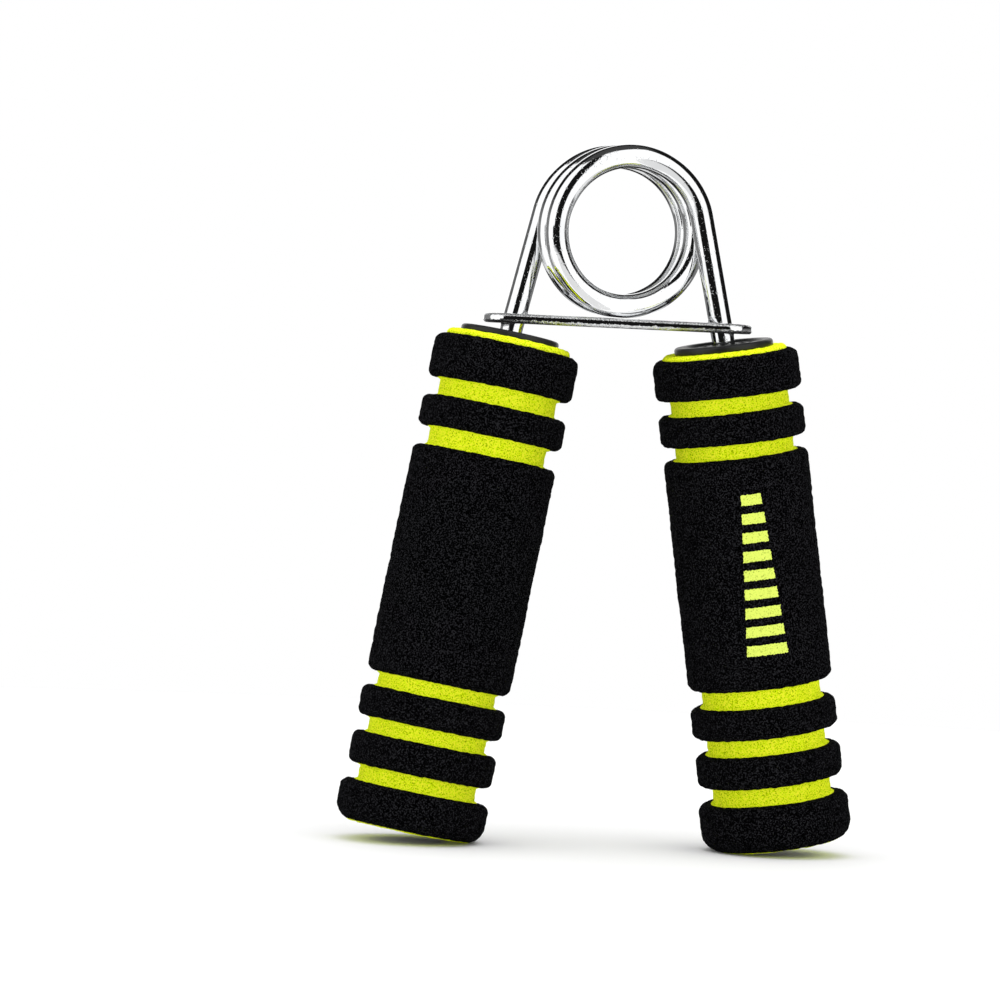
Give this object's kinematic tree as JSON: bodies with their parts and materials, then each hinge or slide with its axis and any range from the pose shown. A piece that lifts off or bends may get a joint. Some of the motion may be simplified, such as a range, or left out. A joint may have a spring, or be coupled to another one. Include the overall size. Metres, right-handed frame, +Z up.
{
  "type": "hand grip strengthener",
  "caption": "Hand grip strengthener: coiled steel spring with splayed legs, slotted link plate and lime and black foam handles that squeeze together.",
  "frame": {"origin": "centre of the bounding box's base, under the middle of the coil", "axes": "+Z up from the handles to the coil; +Y along the coil's axis, from front to back; +X towards the right handle, whose foam stands forward at -Y"},
  "size_m": [0.1086, 0.0448, 0.1488],
  "materials": {
    "spring_steel": "polished",
    "link_steel": "polished",
    "plug_plastic": "satin",
    "core_plastic": "satin",
    "lime_foam": "matte",
    "black_foam": "matte"
  },
  "bodies": {
    "spring": {"spring_coil": "spring_steel"},
    "link": {"link_plate": "link_steel"},
    "right_handle": {"right_leg": "spring_steel", "right_plug": "plug_plastic", "right_core_tube": "core_plastic", "right_tip_bush": "core_plastic", "right_end_cap": "plug_plastic", "right_lime_sleeve": "lime_foam", "right_collar_band": "black_foam", "right_upper_rib": "black_foam", "right_palm_band": "black_foam", "right_lower_rib": "black_foam", "right_heel_rib": "black_foam", "right_end_band": "black_foam"},
    "left_handle": {"left_leg": "spring_steel", "left_plug": "plug_plastic", "left_core_tube": "core_plastic", "left_tip_bush": "core_plastic", "left_end_cap": "plug_plastic", "left_lime_sleeve": "lime_foam", "left_collar_band": "black_foam", "left_upper_rib": "black_foam", "left_palm_band": "black_foam", "left_lower_rib": "black_foam", "left_heel_rib": "black_foam", "left_end_band": "black_foam"}
  },
  "joints": [
    {"name": "right_squeeze", "type": "hinge", "parent": "spring", "child": "right_handle", "pos_m": [0, 0, 0.1305], "axis": [0, 1, 0], "range_deg": [0, 10.5], "stiffness_Nm_per_rad": 39},
    {"name": "left_squeeze", "type": "hinge", "parent": "spring", "child": "left_handle", "pos_m": [0, 0, 0.1305], "axis": [0, -1, 0], "range_deg": [0, 10.5], "stiffness_Nm_per_rad": 39},
    {"name": "link_swing", "type": "hinge", "parent": "spring", "child": "link", "pos_m": [0, 0, 0.111], "axis": [0, 0, -1], "range_deg": [0, 3.9]}
  ],
  "couplings": [
    {"joint": "left_squeeze", "follows": "right_squeeze", "ratio": 1},
    {"joint": "link_swing", "follows": "right_squeeze", "ratio": 0.371}
  ]
}
